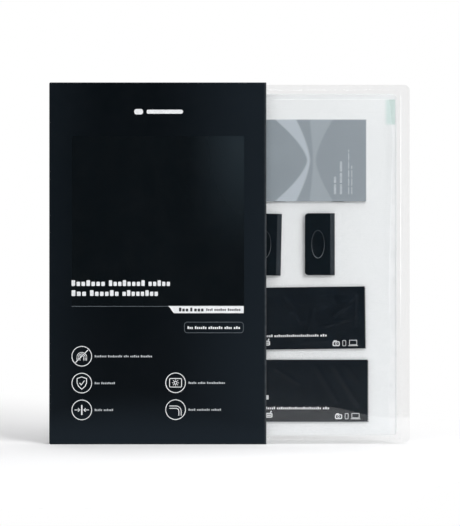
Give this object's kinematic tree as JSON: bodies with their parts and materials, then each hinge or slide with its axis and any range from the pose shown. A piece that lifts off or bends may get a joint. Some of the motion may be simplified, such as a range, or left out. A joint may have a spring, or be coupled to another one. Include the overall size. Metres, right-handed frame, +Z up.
{
  "type": "screen protector kit",
  "caption": "Boxed glass screen protector for a resin printer's display: a card sleeve and a sliding clear case with glass, foam, booklet, squeegees and cleaning sachets.",
  "frame": {"origin": "on the standing surface, midway between the sleeve's closed left end and the case's right end, and midway between front and back", "axes": "+Z up the standing kit, -Y out of the printed front, +X the way the clear case slides out of the sleeve"},
  "size_m": [0.374, 0.015, 0.375],
  "materials": {
    "sleeve_board": "matte printed board",
    "clear_sheet": "gloss",
    "white_foam": "matte",
    "clear_film": "gloss",
    "tempered_glass": "polished",
    "green_film": "satin",
    "grey_cover": "satin",
    "white_paper": "matte",
    "staple_wire": "satin",
    "black_plastic": "satin",
    "black_film": "gloss",
    "wipe_cloth": "matte"
  },
  "bodies": {
    "sleeve": {"card_sleeve": "sleeve_board"},
    "case": {"case_base": "clear_sheet", "case_lid": "clear_sheet", "base_foam_pad": "white_foam", "adhesive_liner": "clear_film", "glass_sheet": "tempered_glass", "front_film": "clear_film", "film_pull_tab": "green_film", "cover_foam_sheet": "white_foam", "booklet_cover": "grey_cover", "booklet_pages": "white_paper", "booklet_staples": "staple_wire", "right_squeegee": "black_plastic", "left_squeegee": "black_plastic", "upper_sachet_pouch": "black_film", "upper_wet_wipe": "wipe_cloth", "upper_dry_cloth": "wipe_cloth", "upper_dust_stickers": "white_paper", "lower_sachet_pouch": "black_film", "lower_wet_wipe": "wipe_cloth", "lower_dry_cloth": "wipe_cloth", "lower_dust_stickers": "white_paper"}
  },
  "joints": [
    {"name": "case_slide", "type": "slide", "parent": "sleeve", "child": "case", "axis": [1, 0, 0], "range_m": [-0.149, 0.075]}
  ]
}
